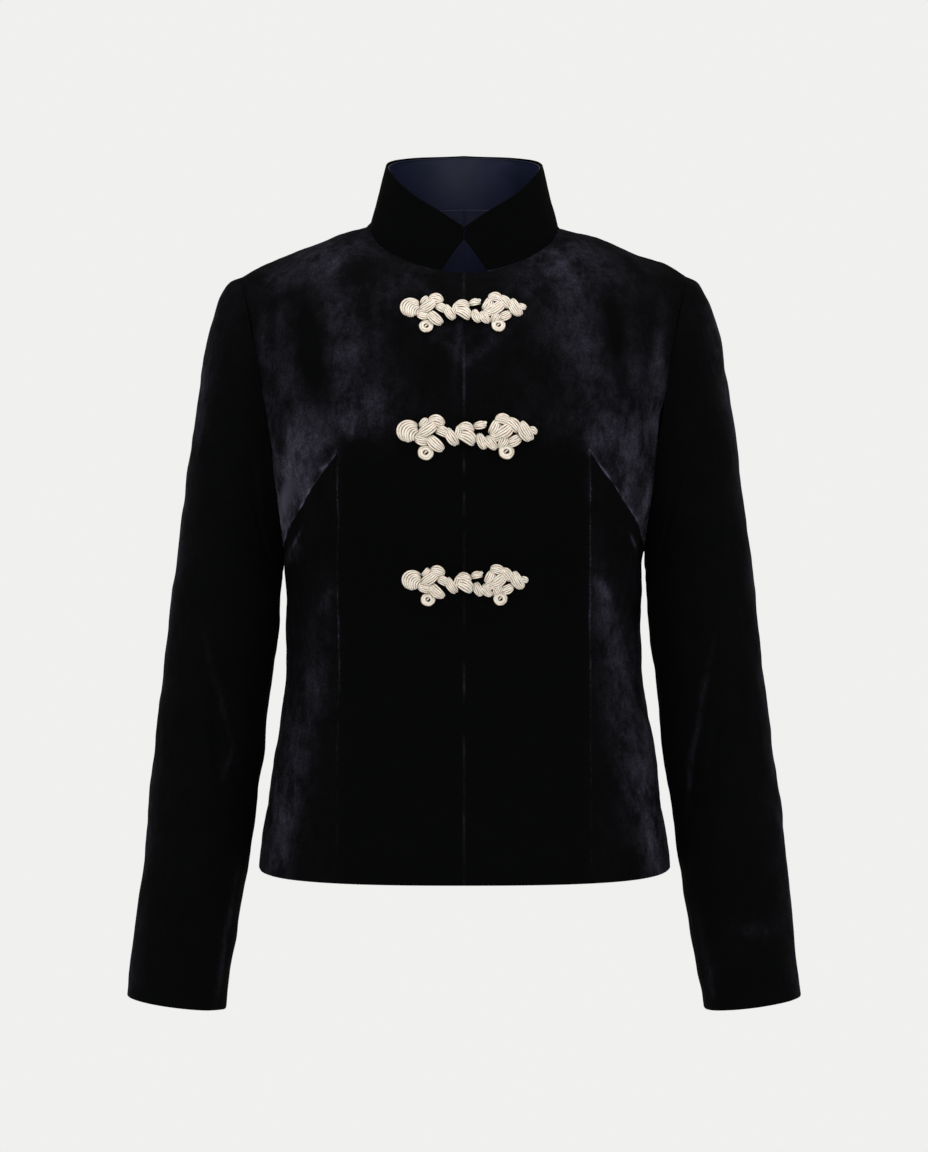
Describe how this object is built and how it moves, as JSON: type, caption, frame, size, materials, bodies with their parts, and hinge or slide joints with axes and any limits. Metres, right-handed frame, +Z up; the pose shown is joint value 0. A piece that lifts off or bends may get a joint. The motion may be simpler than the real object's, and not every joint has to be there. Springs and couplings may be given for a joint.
{
  "type": "mao jacket",
  "caption": "Fitted velvet jacket with a stand collar, edge-to-edge front, corded frog closures, set-in long sleeves and a curved hem, filled out as worn.",
  "frame": {"origin": "in the neck opening, midway between the points where the shoulder seams meet the collar, nearly level with them", "axes": "+Z up, the front faces -Y, +X is towards the wearer's left"},
  "size_m": [0.5642, 0.239, 0.723],
  "materials": {
    "velvet": "dark midnight cut-pile velvet, matt with a soft sheen",
    "satin": "navy satin, smooth with a soft shine",
    "frog_cord": "cream twisted rayon cord"
  },
  "bodies": {
    "root": {"front_left": "velvet", "front_right": "velvet", "side_front_left": "velvet", "side_front_right": "velvet", "back_left": "velvet", "back_right": "velvet", "top_sleeve_left": "velvet", "top_sleeve_right": "velvet", "under_sleeve_left": "velvet", "under_sleeve_right": "velvet", "collar": "velvet", "collar_facing": "satin", "back_lining_left": "satin", "back_lining_right": "satin", "frog_top_button": "frog_cord", "frog_top_loop": "frog_cord", "frog_middle_button": "frog_cord", "frog_middle_loop": "frog_cord", "frog_bottom_button": "frog_cord", "frog_bottom_loop": "frog_cord"}
  },
  "joints": []
}
